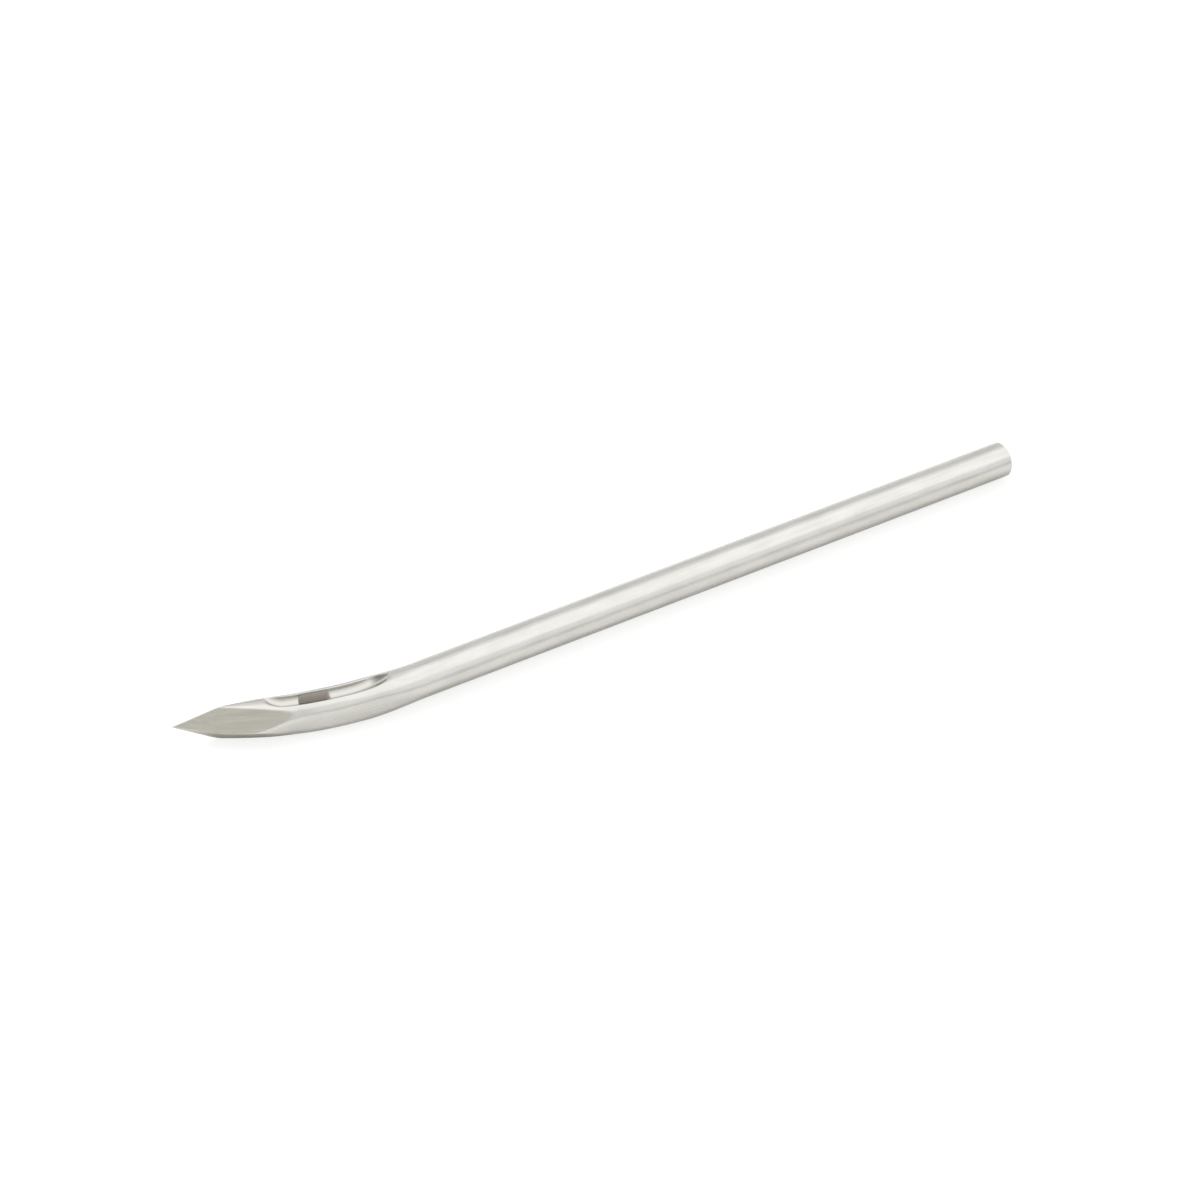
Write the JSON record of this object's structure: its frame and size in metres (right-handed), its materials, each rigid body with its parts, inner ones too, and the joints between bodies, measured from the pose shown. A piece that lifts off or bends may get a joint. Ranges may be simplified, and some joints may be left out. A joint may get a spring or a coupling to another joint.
{
  "type": "sewing awl needle",
  "caption": "Bent steel needle for a lock-stitch sewing awl: ground diamond point on a round head, thread grooves above and below a slotted eye, and a plain round shank.",
  "frame": {"origin": "centre of the shank's flat butt face, on the shank's axis", "axes": "+X out of the butt along the shank, with the point at -X; +Z out of the upper thread groove; the point leans towards +Y"},
  "size_m": [0.0657, 0.005, 0.0028],
  "materials": {
    "steel": "polished shank and neck, finely ground point"
  },
  "bodies": {
    "root": {"needle": "steel"}
  },
  "joints": []
}
